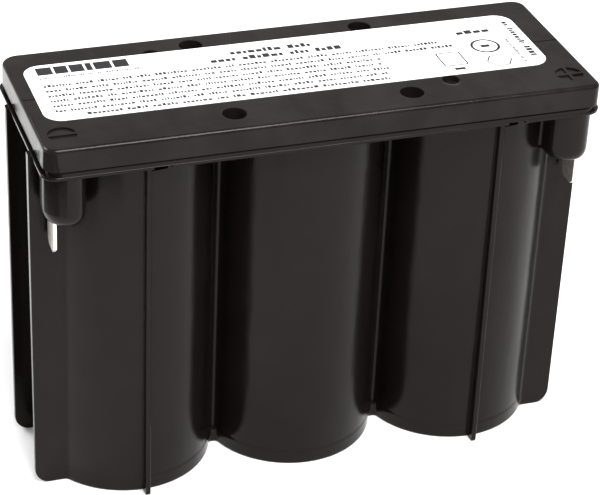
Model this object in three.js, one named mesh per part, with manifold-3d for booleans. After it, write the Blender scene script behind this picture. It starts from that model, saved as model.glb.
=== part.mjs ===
// Sealed lead-acid battery block: three spiral-wound cells in one moulded container, wired in
// series, with a quick-connect tab at each front corner. Millimetres, +Z up. The origin is the
// centre of the base. +X runs along the block to the positive end, -Y is the terminal side.

import * as THREE from 'three';
import { mergeVertices } from 'three/addons/utils/BufferGeometryUtils.js';
import Module from 'manifold-3d';

const wasm = await Module();
wasm.setup();

// ---- driving dimensions -------------------------------------------------------------------

const FIT_GAP = 0.3;
const OVERLAP = 1;            // how far pieces of one moulding run into each other
const MERGE_DISTANCE = 1e-4;

// facets round a full circle
const CELL_SIDES = 40;
const BORE_SIDES = 28;
const POST_SIDES = 16;
const SMALL_SIDES = 12;

// container
const CELL_PITCH = 44.6;
const CELL_RADIUS = 22.4;
const BORE_RADIUS = 20.6;
const FLOOR_THICKNESS = 2.5;
const FOOT_RADIUS = 22.6;
const FOOT_HEIGHT = 3.8;
const FOOT_STEP_HEIGHT = 0.2;
const FOOT_FILLET = 0.5;
const WEB_REACH = 6;
const WEB_FOOT_REACH = 7.1;
const WEB_HALF_WIDTH = 2.2;
const FLANGE_BOTTOM = 94.9;
const FLANGE_TOP = 96.9;
const FLANGE_HALF_LENGTH = 70.1;
const FLANGE_HALF_WIDTH = 26;
const FLANGE_CORNER = 3.9;
const FLANGE_EDGE = 0.4;

// end fins and cell ribs
const FIN_OUTER = 71.1;
const FIN_ROOT = 60;
const FIN_CENTRE = 12.1;
const FIN_THICKNESS_LOW = 1.6;
const FIN_THICKNESS_HIGH = 2.4;
const FIN_TOP = 95.8;
const FIN_FOOT_CORNER = 4;
const RIB_THICKNESS = 1.3;
const RIB_REACH_LOW = 25;
const RIB_REACH_HIGH = 24.1;
const NOTCH_LENGTH = 4.4;
const NOTCH_HEIGHT = 0.8;
const NOTCH_DEPTH = 1.2;

// terminal housings under the flange; a pair is for the negative end, then the positive end
const HOUSING_INNER = [59.5, 58.1];
const HOUSING_OUTER = [69.3, 68.75];
const HOUSING_FRONT = -25.6;
const HOUSING_BACK = -12.5;
const HOUSING_OUTER_ROUND = [5.6, 4.2];
const HOUSING_BACK_ROUND = [4.8, 3.5];
const HOUSING_ROOT_ROUND = 2;
const HOUSING_INNER_ROUND = [3.9, 5.8];
const HOUSING_BOTTOM = 82;
const HOUSING_CHAMFER = 1.6;
const HOUSING_CHAMFER_HEIGHT = 3.2;
const HOUSING_WALL = 1;
const HOUSING_FLOOR = 84.6;

// terminal tabs
const TAB_WIDTH = 6.35;
const TAB_THICKNESS = 0.8;
const TAB_X = [66.7, 66.9];   // negative end, positive end
const TAB_FRONT = -21.2;
const TAB_TIP = 72.8;
const TAB_TIP_CHAMFER = 1.2;
const TAB_SHOULDER = 80.8;    // the blade is full thickness below this
const SHANK_THICKNESS = 0.6;
const STRAP_CORNER = 1;
const STRAP_TAPER_X = 58.6;   // where the strap meets its slanted front edge
const STRAP_TAPER_Y = -18.2;
const STRAP_FRONT_X = 61.6;

// top cover
const COVER_BOTTOM = 97.2;
const COVER_TOP = 102.9;
const COVER_HALF_LENGTH = 69.7;
const COVER_HALF_WIDTH = 25.7;
const COVER_CORNER = 3.6;
const COVER_WALL = 2;
const COVER_EDGE = 0.8;
const VENT_HOLE_RADIUS = 2.9;
const VENT_HOLE_X = 22.2;
const VENT_HOLE_FRONT = -17.8;
const VENT_HOLE_BACK = 19.9;
const VENT_BOSS_WALL = 1.1;
const MARK_DEPTH = 0.35;
const MARK_X = 63.9;
const MARK_Y = -18;
const MARK_RADIUS = 3.5;
const MARK_LINE = 0.8;
const GATE_RADIUS = 2.5;
const GATE_CENTRES = [[34.3, -14.4], [-33, 16.8]];

// label
const LABEL_LEFT = -66;
const LABEL_RIGHT = 62;
const LABEL_FRONT = -11.7;
const LABEL_BACK = 17.6;
const LABEL_CORNER = 4.5;
const LABEL_GAP = 0.05;
const LABEL_THICKNESS = 0.15;

// spiral-wound electrode pack
const PACK_BOTTOM = 5;
const PACK_TOP = 76;
const SPIRAL_START = 3.4;
const SPIRAL_PITCH = 4.8;
const SPIRAL_STEPS_PER_TURN = 12;
const SPIRAL_TURNS = 2.75;
const NEGATIVE_THICKNESS = 1.1;
const POSITIVE_THICKNESS = 1.3;
const SEPARATOR_THICKNESS = 0.7;
const SEPARATOR_OVERHANG = 1.5;
const LUG_WIDTH = 2.2;
const LUG_INSET = 0.2;

// posts, straps and cell lids
const POST_OFFSET = 9.5;
const POST_RADIUS = 3;
const POST_TOP = 98.4;
const STRAP_BOTTOM = 80;
const STRAP_TOP = 83;
const STRAP_RADIUS = 18.5;
const STRAP_SPACING = 3;
const LID_RADIUS = BORE_RADIUS - FIT_GAP;
const LID_BOTTOM = 92.4;
const LID_TOP = 96.6;
const LID_POST_HOLE = 4.8;
const SEAL_WALL = 1.1;
const SEAL_STEP = 0.5;
const CONNECTOR_HALF_WIDTH = 4;
const CONNECTOR_CORNER = 3;
const CONNECTOR_THICKNESS = 1.2;
const POTTING_CELL_CLEARANCE = 1.5;

// relief valves
const VENT_TUBE_RADIUS = 2.8;
const VENT_TUBE_BORE = 1.1;
const VENT_TUBE_TOP = 98.6;
const VALVE_RADIUS = 4.2;
const VALVE_TOP = 100.1;
const VALVE_EDGE = 0.5;

// worked out from the sizes above
const CELL_CENTRES = [-CELL_PITCH, 0, CELL_PITCH];
const STRAP_LEVEL = POST_TOP + FIT_GAP;
const TAB_BACK = TAB_FRONT + TAB_WIDTH;
const FRONT_AND_BACK = [-1, 1];
const ENDS = [-1, 1];

// ---- materials ----------------------------------------------------------------------------

function material(color, roughness, metalness) {
  return new THREE.MeshStandardMaterial({ color, roughness, metalness });
}

const blackPlastic = () => material(0x353331, 0.42, 0);
const innerPlastic = () => material(0x4a4a4a, 0.5, 0);
const whiteFilm = () => material(0xf4f4f2, 0.4, 0);
const leadGrey = () => material(0x70747a, 0.55, 0.8);
const leadDioxide = () => material(0x4b3428, 0.85, 0.1);
const spongeLead = () => material(0x8a8d90, 0.8, 0.3);
const glassMat = () => material(0xeeeeea, 0.95, 0);
const tinnedBrass = () => material(0xd8d6d0, 0.25, 1);
const blackRubber = () => material(0x161616, 0.8, 0);
const epoxy = () => material(0x1c1c20, 0.35, 0);

// ---- solids and geometry ------------------------------------------------------------------

function toSolid(geometry) {
  const bare = geometry.index ? geometry.toNonIndexed() : geometry.clone();
  bare.deleteAttribute('normal');
  bare.deleteAttribute('uv');
  const merged = mergeVertices(bare, MERGE_DISTANCE);
  return new wasm.Manifold(new wasm.Mesh({
    numProp: 3,
    vertProperties: new Float32Array(merged.attributes.position.array),
    triVerts: new Uint32Array(merged.index.array),
  }));
}

function toGeometry(solid) {
  const mesh = solid.getMesh();
  const geometry = new THREE.BufferGeometry();
  geometry.setAttribute('position', new THREE.BufferAttribute(mesh.vertProperties, 3));
  geometry.setIndex(new THREE.BufferAttribute(mesh.triVerts, 1));
  geometry.computeVertexNormals();
  return geometry;
}

function joined(geometries) {
  return geometries.map(toSolid).reduce((whole, piece) => whole.add(piece));
}

function cut(solid, geometries) {
  return geometries.map(toSolid).reduce((whole, tool) => whole.subtract(tool), solid);
}

// An outline in the XY plane, raised from one level to another.
function prism(shape, low, high, curveSegments = 4) {
  const geometry = new THREE.ExtrudeGeometry(shape, {
    depth: high - low, bevelEnabled: false, curveSegments,
  });
  return geometry.translate(0, 0, low);
}

// The same, with both rims bevelled inward.
function bevelledPrism(shape, low, high, bevel, bevelHeight, curveSegments = 4) {
  const geometry = new THREE.ExtrudeGeometry(shape, {
    depth: high - low - 2 * bevelHeight,
    bevelEnabled: true,
    bevelSize: bevel,
    bevelOffset: -bevel,
    bevelThickness: bevelHeight,
    bevelSegments: 1,
    curveSegments,
  });
  return geometry.translate(0, 0, low + bevelHeight);
}

// A profile of [radius, height] points turned about the vertical axis.
function turned(profile, segments) {
  const points = profile.map(([radius, height]) => new THREE.Vector2(radius, height));
  return new THREE.LatheGeometry(points, segments).rotateX(Math.PI / 2);
}

function cylinder(radius, low, high, segments, x = 0, y = 0) {
  return turned([[0, low], [radius, low], [radius, high], [0, high]], segments).translate(x, y, 0);
}

function box(x0, x1, y0, y1, z0, z1) {
  return new THREE.BoxGeometry(x1 - x0, y1 - y0, z1 - z0)
    .translate((x0 + x1) / 2, (y0 + y1) / 2, (z0 + z1) / 2);
}

function polygon(points) {
  return new THREE.Shape(points.map(([x, y]) => new THREE.Vector2(x, y)));
}

// A closed ring with a rectangular section.
function ring(inner, outer, low, high, segments) {
  const profile = [[inner, low], [outer, low], [outer, high], [inner, high], [inner, low]];
  return turned(profile, segments);
}

// A rectangle whose corners may each have their own radius: front left, front right, back
// right, back left.
function roundedRectangle(x0, x1, y0, y1, radii) {
  const [frontLeft, frontRight, backRight, backLeft] = radii;
  const quarter = Math.PI / 2;
  const shape = new THREE.Shape();
  shape.moveTo(x0 + frontLeft, y0);
  shape.lineTo(x1 - frontRight, y0);
  shape.absarc(x1 - frontRight, y0 + frontRight, frontRight, -quarter, 0);
  shape.lineTo(x1, y1 - backRight);
  shape.absarc(x1 - backRight, y1 - backRight, backRight, 0, quarter);
  shape.lineTo(x0 + backLeft, y1);
  shape.absarc(x0 + backLeft, y1 - backLeft, backLeft, quarter, 2 * quarter);
  shape.lineTo(x0, y0 + frontLeft);
  shape.absarc(x0 + frontLeft, y0 + frontLeft, frontLeft, 2 * quarter, 3 * quarter);
  return shape;
}

function centredRectangle(halfLength, halfWidth, radius) {
  return roundedRectangle(
    -halfLength, halfLength, -halfWidth, halfWidth, Array(4).fill(radius));
}

// Mirrors a closed geometry to the other end and turns its faces back outward.
function mirrorEnd(geometry, end) {
  if (end > 0) return geometry;
  const plain = geometry.index ? geometry.toNonIndexed() : geometry;
  plain.scale(-1, 1, 1);
  const values = plain.attributes.position.array;
  for (let first = 0; first < values.length; first += 9) {
    for (let axis = 0; axis < 3; axis += 1) {
      const kept = values[first + 3 + axis];
      values[first + 3 + axis] = values[first + 6 + axis];
      values[first + 6 + axis] = kept;
    }
  }
  return plain;
}

function mesh(name, geometry, look) {
  const piece = new THREE.Mesh(geometry, look);
  piece.name = name;
  return piece;
}

// ---- container ----------------------------------------------------------------------------

// A cell's outside, standing on a slightly wider foot.
function cellWall(x) {
  const easing = FOOT_FILLET * (1 - Math.SQRT1_2);
  const profile = [
    [0, 0],
    [FOOT_RADIUS - FOOT_FILLET, 0],
    [FOOT_RADIUS - easing, easing],
    [FOOT_RADIUS, FOOT_FILLET],
    [FOOT_RADIUS, FOOT_HEIGHT],
    [CELL_RADIUS, FOOT_HEIGHT + FOOT_STEP_HEIGHT],
    [CELL_RADIUS, FLANGE_BOTTOM + OVERLAP],
    [0, FLANGE_BOTTOM + OVERLAP],
  ];
  return turned(profile, CELL_SIDES).translate(x, 0, 0);
}

function cellWeb(x) {
  const left = x - WEB_HALF_WIDTH;
  const right = x + WEB_HALF_WIDTH;
  const wall = box(left, right, -WEB_REACH, WEB_REACH, 0, FLANGE_BOTTOM + OVERLAP);
  const foot = box(left, right, -WEB_FOOT_REACH, WEB_FOOT_REACH, 0, FOOT_HEIGHT);
  return toGeometry(joined([wall, foot]));
}

// A tapered panel standing on the end of the block, rounded at its foot.
function endFin(end, side) {
  const low = FIN_THICKNESS_LOW / 2;
  const high = FIN_THICKNESS_HIGH / 2;
  const section = polygon([[-low, 0], [low, 0], [high, FIN_TOP], [-high, FIN_TOP]]);
  const slab = prism(section, FIN_ROOT, FIN_OUTER)
    .rotateX(Math.PI / 2).rotateZ(Math.PI / 2).translate(0, side * FIN_CENTRE, 0);
  const outline = new THREE.Shape();
  outline.moveTo(FIN_ROOT, 0);
  outline.lineTo(FIN_OUTER - FIN_FOOT_CORNER, 0);
  outline.absarc(FIN_OUTER - FIN_FOOT_CORNER, FIN_FOOT_CORNER, FIN_FOOT_CORNER, -Math.PI / 2, 0);
  outline.lineTo(FIN_OUTER, FIN_TOP);
  outline.lineTo(FIN_ROOT, FIN_TOP);
  const depth = FIN_THICKNESS_HIGH;
  const face = prism(outline, -depth, depth)
    .rotateX(Math.PI / 2).translate(0, side * FIN_CENTRE, 0);
  return mirrorEnd(toGeometry(toSolid(slab).intersect(toSolid(face))), end);
}

function cellRib(x, side) {
  const root = -BORE_RADIUS - OVERLAP;
  const section = polygon([
    [root, 0], [root, FLANGE_BOTTOM + OVERLAP],
    [-RIB_REACH_HIGH, FLANGE_BOTTOM + OVERLAP], [-RIB_REACH_LOW, FOOT_FILLET],
    [-RIB_REACH_LOW + FOOT_FILLET, 0],
  ]);
  const rib = prism(section, -RIB_THICKNESS / 2, RIB_THICKNESS / 2)
    .rotateX(Math.PI / 2).rotateZ(Math.PI / 2);
  return (side < 0 ? rib : rib.rotateZ(Math.PI)).translate(x, 0, 0);
}

function atEnd(pair, end) {
  return end < 0 ? pair[0] : pair[1];
}

function housingOutline(end, inset) {
  return roundedRectangle(
    atEnd(HOUSING_INNER, end) + inset, atEnd(HOUSING_OUTER, end) - inset,
    HOUSING_FRONT + inset, HOUSING_BACK - inset,
    [
      atEnd(HOUSING_INNER_ROUND, end) - inset, atEnd(HOUSING_OUTER_ROUND, end) - inset,
      atEnd(HOUSING_BACK_ROUND, end) - inset, HOUSING_ROOT_ROUND - inset,
    ]);
}

function terminalHousing(end) {
  const shoulder = HOUSING_BOTTOM + HOUSING_CHAMFER_HEIGHT;
  const body = prism(housingOutline(end, 0), shoulder, FLANGE_BOTTOM + OVERLAP);
  const foot = bevelledPrism(
    housingOutline(end, 0), HOUSING_BOTTOM, shoulder + 2 * HOUSING_CHAMFER_HEIGHT,
    HOUSING_CHAMFER, HOUSING_CHAMFER_HEIGHT);
  return mirrorEnd(toGeometry(joined([body, foot])), end);
}

function flange() {
  const outline = centredRectangle(FLANGE_HALF_LENGTH, FLANGE_HALF_WIDTH, FLANGE_CORNER);
  return bevelledPrism(outline, FLANGE_BOTTOM, FLANGE_TOP, FLANGE_EDGE, FLANGE_EDGE);
}

function flangeNotch(x, side) {
  const start = x + RIB_THICKNESS / 2;
  const outer = side * (FLANGE_HALF_WIDTH + OVERLAP);
  const inner = side * (FLANGE_HALF_WIDTH - NOTCH_DEPTH);
  return box(
    start, start + NOTCH_LENGTH, Math.min(outer, inner), Math.max(outer, inner),
    FLANGE_BOTTOM - OVERLAP, FLANGE_BOTTOM + NOTCH_HEIGHT);
}

function housingPocket(end) {
  const outline = housingOutline(end, HOUSING_WALL);
  return mirrorEnd(prism(outline, HOUSING_FLOOR, FLANGE_TOP + OVERLAP), end);
}

function tabSlot(end) {
  const half = TAB_THICKNESS / 2 + FIT_GAP;
  const middle = atEnd(TAB_X, end);
  return mirrorEnd(box(
    middle - half, middle + half, TAB_FRONT - FIT_GAP, TAB_BACK + FIT_GAP,
    HOUSING_BOTTOM - OVERLAP, HOUSING_FLOOR + OVERLAP), end);
}

function container() {
  const ribbedCells = [-CELL_PITCH, CELL_PITCH];
  const walls = [
    ...CELL_CENTRES.map(cellWall),
    cellWeb(-CELL_PITCH / 2),
    cellWeb(CELL_PITCH / 2),
    ...ENDS.flatMap((end) => FRONT_AND_BACK.map((side) => endFin(end, side))),
    ...ribbedCells.flatMap((x) => FRONT_AND_BACK.map((side) => cellRib(x, side))),
    ...ENDS.map(terminalHousing),
    flange(),
  ];
  const hollows = [
    ...CELL_CENTRES.map((x) =>
      cylinder(BORE_RADIUS, FLOOR_THICKNESS, FLANGE_TOP + OVERLAP, BORE_SIDES, x)),
    ...ribbedCells.flatMap((x) => FRONT_AND_BACK.map((side) => flangeNotch(x, side))),
    ...ENDS.map(housingPocket),
    ...ENDS.map(tabSlot),
  ];
  return mesh('container', toGeometry(cut(joined(walls), hollows)), blackPlastic());
}

// ---- top cover and label ------------------------------------------------------------------

// A shallow round sink that leaves the polarity sign standing in it.
function polaritySign(x, isPositive) {
  const low = COVER_TOP - MARK_DEPTH;
  const high = COVER_TOP + OVERLAP;
  const half = MARK_LINE / 2;
  const reach = MARK_RADIUS + OVERLAP;
  const strokes = [
    box(x - reach, x + reach, MARK_Y - half, MARK_Y + half, low - OVERLAP, high + OVERLAP),
  ];
  if (isPositive) {
    strokes.push(
      box(x - half, x + half, MARK_Y - reach, MARK_Y + reach, low - OVERLAP, high + OVERLAP));
  }
  const sink = toSolid(cylinder(MARK_RADIUS, low, high, POST_SIDES, x, MARK_Y));
  return toGeometry(cut(sink, strokes));
}

function topCover() {
  const outline = centredRectangle(COVER_HALF_LENGTH, COVER_HALF_WIDTH, COVER_CORNER);
  const outside = toSolid(bevelledPrism(
    outline, COVER_BOTTOM, COVER_TOP, COVER_EDGE, COVER_EDGE));
  const inner = centredRectangle(
    COVER_HALF_LENGTH - COVER_WALL, COVER_HALF_WIDTH - COVER_WALL, COVER_CORNER - COVER_WALL);
  const roof = COVER_TOP - COVER_WALL;
  const vents = [-VENT_HOLE_X, VENT_HOLE_X].flatMap((x) =>
    [VENT_HOLE_FRONT, VENT_HOLE_BACK].map((y) => [x, y]));
  const shell = cut(outside, [prism(inner, COVER_BOTTOM - OVERLAP, roof)]);
  const bosses = vents.map(([x, y]) => cylinder(
    VENT_HOLE_RADIUS + VENT_BOSS_WALL, COVER_BOTTOM, roof + OVERLAP, POST_SIDES, x, y));
  const bossed = bosses.map(toSolid).reduce((whole, boss) => whole.add(boss), shell);
  const hollows = [
    ...vents.map(([x, y]) => cylinder(
      VENT_HOLE_RADIUS, COVER_BOTTOM - OVERLAP, COVER_TOP + OVERLAP, POST_SIDES, x, y)),
    ...GATE_CENTRES.map(([x, y]) => cylinder(
      GATE_RADIUS, COVER_TOP - MARK_DEPTH, COVER_TOP + OVERLAP, SMALL_SIDES, x, y)),
    polaritySign(-MARK_X, false),
    polaritySign(MARK_X, true),
  ];
  return mesh('top_cover', toGeometry(cut(bossed, hollows)), blackPlastic());
}

function label() {
  const corners = Array(4).fill(LABEL_CORNER);
  const outline = roundedRectangle(LABEL_LEFT, LABEL_RIGHT, LABEL_FRONT, LABEL_BACK, corners);
  const low = COVER_TOP + LABEL_GAP;
  return mesh('label', prism(outline, low, low + LABEL_THICKNESS), whiteFilm());
}

// ---- one cell, about its own axis ---------------------------------------------------------

function spiralPoint(angle, offset) {
  const radius = SPIRAL_START + offset + (SPIRAL_PITCH * angle) / (2 * Math.PI);
  return [radius * Math.cos(angle), radius * Math.sin(angle)];
}

// A wound strip, offset outward from the common spiral, between two angles.
function woundStrip(offset, thickness, low, high, fromTurn, toTurn) {
  const steps = Math.round((toTurn - fromTurn) * SPIRAL_STEPS_PER_TURN);
  const angles = Array.from({ length: steps + 1 },
    (_, step) => 2 * Math.PI * (fromTurn + step / SPIRAL_STEPS_PER_TURN));
  const outer = angles.map((angle) => spiralPoint(angle, offset + thickness / 2));
  const inner = angles.map((angle) => spiralPoint(angle, offset - thickness / 2)).reverse();
  return prism(polygon([...outer, ...inner]), low, high);
}

// Lugs rise from the strip to its strap wherever the spiral crosses that side of the cell.
function plateLugs(offset, thickness, firstTurn) {
  const lugs = [];
  for (let turn = firstTurn; turn < SPIRAL_TURNS; turn += 1) {
    const [x] = spiralPoint(2 * Math.PI * turn, offset);
    const half = thickness / 2 - LUG_INSET;
    lugs.push(box(
      x - half, x + half, -LUG_WIDTH / 2, LUG_WIDTH / 2,
      PACK_TOP - OVERLAP, STRAP_BOTTOM - FIT_GAP));
  }
  return lugs;
}

function plate(name, offset, thickness, startTurn, firstLugTurn, look) {
  const strip = woundStrip(offset, thickness, PACK_BOTTOM, PACK_TOP, startTurn, SPIRAL_TURNS);
  const lugs = plateLugs(offset, thickness, firstLugTurn);
  return mesh(name, toGeometry(joined([strip, ...lugs])), look);
}

// Glass mat on both faces of the positive plate, folded round the plate's inner end.
function separator(name) {
  const low = PACK_BOTTOM - SEPARATOR_OVERHANG;
  const high = PACK_TOP + SEPARATOR_OVERHANG;
  const inner = SPIRAL_PITCH / 4;
  const outer = (3 * SPIRAL_PITCH) / 4;
  const layers = [inner, outer].map((offset) =>
    woundStrip(offset, SEPARATOR_THICKNESS, low, high, 0, SPIRAL_TURNS));
  const half = SEPARATOR_THICKNESS / 2;
  const fold = box(
    SPIRAL_START + inner - half, SPIRAL_START + outer + half, -half, half, low, high);
  return mesh(name, toGeometry(joined([...layers, fold])), glassMat());
}

// A half-moon strap with its post; the post passes through the cell lid.
function post(name, side) {
  const edge = Math.asin(STRAP_SPACING / 2 / STRAP_RADIUS);
  const halfMoon = new THREE.Shape();
  halfMoon.absarc(0, 0, STRAP_RADIUS, -Math.PI / 2 + edge, Math.PI / 2 - edge);
  const strap = prism(halfMoon, STRAP_BOTTOM, STRAP_TOP, POST_SIDES / 2);
  const pin = cylinder(POST_RADIUS, STRAP_TOP - OVERLAP, POST_TOP, POST_SIDES, POST_OFFSET);
  return mesh(name, mirrorEnd(toGeometry(joined([strap, pin])), side), leadGrey());
}

function cellLid(name) {
  const disc = cylinder(LID_RADIUS, LID_BOTTOM, LID_TOP, BORE_SIDES);
  const tube = cylinder(VENT_TUBE_RADIUS, LID_TOP - OVERLAP, VENT_TUBE_TOP, POST_SIDES);
  const low = LID_BOTTOM - OVERLAP;
  const hollows = [
    cylinder(VENT_TUBE_BORE, low, VENT_TUBE_TOP + OVERLAP, SMALL_SIDES),
    ...ENDS.map((side) => cylinder(
      LID_POST_HOLE, low, LID_TOP + OVERLAP, POST_SIDES, side * POST_OFFSET)),
  ];
  return mesh(name, toGeometry(cut(joined([disc, tube]), hollows)), innerPlastic());
}

// A bush that seals a post in the lid.
function postSeal(name, side) {
  const inner = POST_RADIUS + FIT_GAP;
  const bush = ring(
    inner, inner + SEAL_WALL, LID_BOTTOM + SEAL_STEP, LID_TOP - SEAL_STEP, POST_SIDES);
  return mesh(name, bush.translate(side * POST_OFFSET, 0, 0), blackRubber());
}

// A rubber cap that sits over the vent tube and lifts to let gas out.
function reliefValve(name) {
  const inside = VENT_TUBE_RADIUS + FIT_GAP;
  const roof = VENT_TUBE_TOP + FIT_GAP;
  const skirt = LID_TOP + FIT_GAP;
  const profile = [
    [0, roof], [inside, roof], [inside, skirt], [VALVE_RADIUS, skirt],
    [VALVE_RADIUS, VALVE_TOP - VALVE_EDGE], [VALVE_RADIUS - VALVE_EDGE, VALVE_TOP],
    [0, VALVE_TOP],
  ];
  return mesh(name, turned(profile, POST_SIDES), blackRubber());
}

function cell(number, x) {
  const name = (piece) => `cell_${number}_${piece}`;
  const group = new THREE.Group();
  group.position.x = x;
  group.add(
    plate(name('negative_plate'), 0, NEGATIVE_THICKNESS, 0, 0.5, spongeLead()),
    plate(name('positive_plate'), SPIRAL_PITCH / 2, POSITIVE_THICKNESS,
      1 / SPIRAL_STEPS_PER_TURN, 1, leadDioxide()),
    separator(name('separator')),
    post(name('negative_post'), -1),
    post(name('positive_post'), 1),
    postSeal(name('negative_post_seal'), -1),
    postSeal(name('positive_post_seal'), 1),
    cellLid(name('lid')),
    reliefValve(name('relief_valve')),
  );
  return group;
}

// ---- conductors ---------------------------------------------------------------------------

function intercellConnector(name, fromX, toX) {
  const end = CONNECTOR_HALF_WIDTH;
  const corners = Array(4).fill(CONNECTOR_CORNER);
  const outline = roundedRectangle(
    fromX + POST_OFFSET - end, toX - POST_OFFSET + end, -end, end, corners);
  const bar = prism(outline, STRAP_LEVEL, STRAP_LEVEL + CONNECTOR_THICKNESS);
  return mesh(name, bar, leadGrey());
}

// A flat strap from the end post to the corner, folded down into a thinner shank that ends in
// the quick-connect blade.
function terminalTab(name, end) {
  const half = TAB_THICKNESS / 2;
  const shankHalf = SHANK_THICKNESS / 2;
  const near = CONNECTOR_HALF_WIDTH;
  const left = CELL_PITCH + POST_OFFSET - near;
  const right = CELL_PITCH + POST_OFFSET + near;
  const middle = atEnd(TAB_X, end);
  const outside = middle + half;
  const strap = prism(polygon([
    [left, -near + STRAP_CORNER], [left + STRAP_CORNER, -near], [STRAP_TAPER_X, STRAP_TAPER_Y],
    [STRAP_FRONT_X, TAB_FRONT], [outside, TAB_FRONT], [outside, TAB_BACK],
    [right, near - STRAP_CORNER], [right - STRAP_CORNER, near], [left, near],
  ]), STRAP_LEVEL, STRAP_LEVEL + TAB_THICKNESS);
  const shank = box(
    middle - shankHalf, middle + shankHalf, TAB_FRONT, TAB_BACK,
    TAB_SHOULDER - OVERLAP, STRAP_LEVEL + half);
  const chamfer = TAB_TIP_CHAMFER;
  const blade = prism(polygon([
    [TAB_FRONT, TAB_SHOULDER], [TAB_FRONT, TAB_TIP + chamfer], [TAB_FRONT + chamfer, TAB_TIP],
    [TAB_BACK - chamfer, TAB_TIP], [TAB_BACK, TAB_TIP + chamfer], [TAB_BACK, TAB_SHOULDER],
  ]), middle - half, outside).rotateX(Math.PI / 2).rotateZ(Math.PI / 2);
  const whole = toGeometry(joined([strap, shank, blade]));
  return mesh(name, mirrorEnd(whole, end), tinnedBrass());
}

// Epoxy that fills the housing behind the blade and backs it up.
function terminalPotting(name, end) {
  const low = HOUSING_FLOOR + FIT_GAP;
  const fill = toSolid(prism(
    housingOutline(end, HOUSING_WALL + FIT_GAP), low, FLANGE_TOP - FIT_GAP));
  const inside = atEnd(TAB_X, end) - TAB_THICKNESS / 2 - FIT_GAP;
  const slot = box(
    inside, atEnd(HOUSING_OUTER, end), TAB_FRONT - FIT_GAP, TAB_BACK + FIT_GAP,
    low - OVERLAP, FLANGE_TOP);
  const cellSide = cylinder(
    BORE_RADIUS + POTTING_CELL_CLEARANCE, low - OVERLAP, FLANGE_TOP + OVERLAP,
    BORE_SIDES, CELL_PITCH);
  const whole = toGeometry(cut(fill, [slot, cellSide]));
  return mesh(name, mirrorEnd(whole, end), epoxy());
}

// ---- assembly -----------------------------------------------------------------------------

const battery = new THREE.Group();
battery.add(container(), topCover(), label());
CELL_CENTRES.forEach((x, index) => battery.add(cell(index + 1, x)));
battery.add(
  intercellConnector('intercell_connector_1_2', CELL_CENTRES[0], CELL_CENTRES[1]),
  intercellConnector('intercell_connector_2_3', CELL_CENTRES[1], CELL_CENTRES[2]),
  terminalTab('negative_terminal_tab', -1),
  terminalTab('positive_terminal_tab', 1),
  terminalPotting('negative_terminal_potting', -1),
  terminalPotting('positive_terminal_potting', 1),
);

export default battery;
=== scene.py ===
"""Looks for the sealed lead acid battery block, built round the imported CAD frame.

The moulded case, its lid, the label and the two push-on tabs are rebuilt here as fine meshes in the
CAD's own places. Everything sealed inside keeps its CAD solid and gets a finished material.
Outlines are worked out in millimetres and become metres when a mesh is made.
"""

import math
import random

import bmesh
import bpy
from mathutils import Matrix, Vector


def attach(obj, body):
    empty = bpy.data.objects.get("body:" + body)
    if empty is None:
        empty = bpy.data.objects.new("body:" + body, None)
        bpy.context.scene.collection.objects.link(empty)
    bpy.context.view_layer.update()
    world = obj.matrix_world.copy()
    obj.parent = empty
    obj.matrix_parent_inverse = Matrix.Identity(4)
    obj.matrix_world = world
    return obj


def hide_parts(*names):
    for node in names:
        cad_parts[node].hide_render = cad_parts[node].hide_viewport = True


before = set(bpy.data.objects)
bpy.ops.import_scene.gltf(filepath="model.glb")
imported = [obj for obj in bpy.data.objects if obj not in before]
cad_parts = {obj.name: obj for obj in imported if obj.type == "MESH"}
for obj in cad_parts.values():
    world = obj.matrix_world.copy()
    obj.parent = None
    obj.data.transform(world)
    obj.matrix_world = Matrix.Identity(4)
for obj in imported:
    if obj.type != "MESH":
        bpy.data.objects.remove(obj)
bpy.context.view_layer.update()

MM = 0.001
BODY = "battery"
ENDS = (-1, 1)

# How far, in millimetres, a tool runs past the faces that it cuts or joins.
OVERRUN = 1.0

# ---- driving dimensions, in millimetres ---------------------------------------------------

CELL_PITCH = 44.6
CELL_RADIUS = 22.4
CELL_DRAFT = 0.1
BORE_RADIUS = 20.6
FLOOR_THICKNESS = 2.5
FOOT_RADIUS = 22.4
FOOT_HEIGHT = 3.8
FOOT_STEP_HEIGHT = 0.2
FOOT_FILLET = 0.5
WALL_LEVELS = (4.5, 12, 30, 50, 70, 86)

# The web between two cells: its reach from the middle plane in the wall and at the foot, and
# the fillets on its two sides, which leave at least this half width of flat between them.
WEB_REACH = 6.0
WEB_FOOT_REACH = 7.1
WEB_FILLET = 1.1
WEB_HALF_LEAST = 0.01

FLANGE_BOTTOM = 94.9
FLANGE_TOP = 96.9
FLANGE_HALF = (70.3, 26.0)
FLANGE_CORNER = 3.9

# Rounded edges as steps from the flat face to the side: distance from the flat face, inset.
FLANGE_LOW_EDGE = ((0.0, 0.45), (0.06, 0.22), (0.22, 0.06), (0.45, 0.0))
FLANGE_TOP_EDGE = ((0.0, 0.1), (0.03, 0.03), (0.1, 0.0))
FLANGE_LIP_TOP = 95.9
FLANGE_LIP_EDGE = 0.08
FLANGE_LIP_STEP = 0.05
FLANGE_END_RECESS = 1.3

FIN_CENTRE = 12.1
FIN_HALF_LOW = 0.8
FIN_HALF_HIGH = 1.2
FIN_OUTER = 71.1
FIN_TOP = 95.8
FIN_FOOT_CORNER = 4.0
FIN_FILLET = 0.6
FIN_OUTER_FILLET = 1.8
FIN_EDGE = 0.3
FIN_FOOT_FLAT = 0.1
FIN_FOOT_SHARE = 0.5
RIB_HALF = 0.65
RIB_REACH_LOW = 25.0
RIB_REACH_HIGH = 24.1
RIB_FILLET = 0.08
RIB_EDGE = 0.3
NOTCH_LENGTH = 4.4
NOTCH_HEIGHT = 0.8
NOTCH_DROP = 2.2
NOTCH_DEPTH = 5.0

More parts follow.
